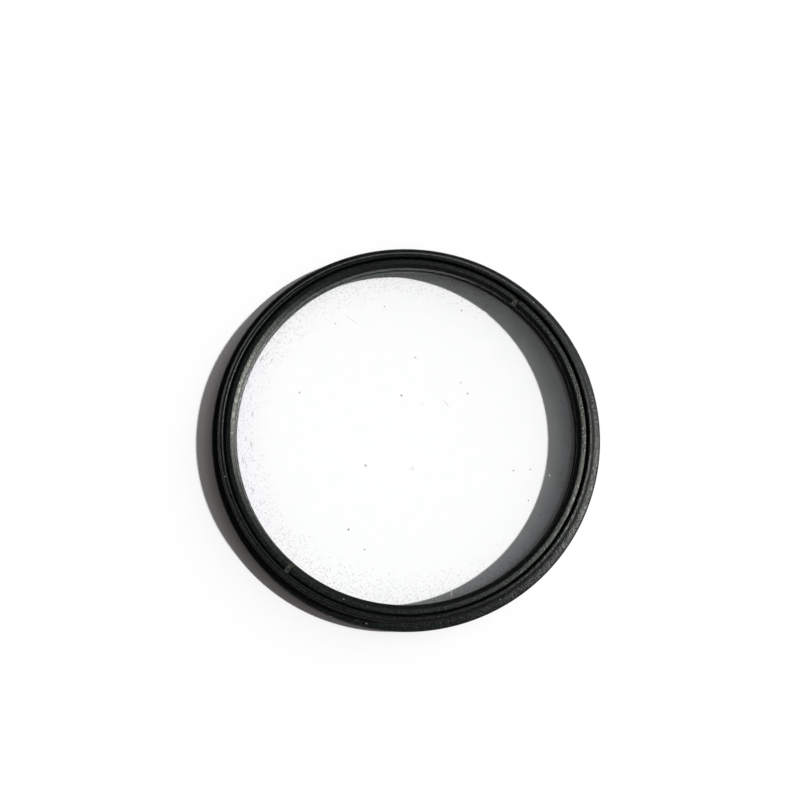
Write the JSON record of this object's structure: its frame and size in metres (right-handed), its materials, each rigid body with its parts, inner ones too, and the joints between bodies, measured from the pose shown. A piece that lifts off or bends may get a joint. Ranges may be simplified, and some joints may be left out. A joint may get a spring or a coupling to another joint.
{
  "type": "screw-in lens filter",
  "caption": "Round clear glass filter in a black anodised ring, with a male rear thread, a female front thread and a slotted ring that holds the glass.",
  "frame": {"origin": "centre of the front rim face, on which the filter lies", "axes": "+Z along the optical axis, from the front rim towards the male thread and the lens"},
  "size_m": [0.054, 0.054, 0.005],
  "materials": {
    "anodised_frame": "bead-blasted, satin black anodised",
    "clear_glass": "polished, coated clear",
    "anodised_retainer": "bead-blasted, satin black anodised"
  },
  "bodies": {
    "root": {"filter_frame": "anodised_frame", "filter_glass": "clear_glass", "retaining_ring": "anodised_retainer"}
  },
  "joints": []
}
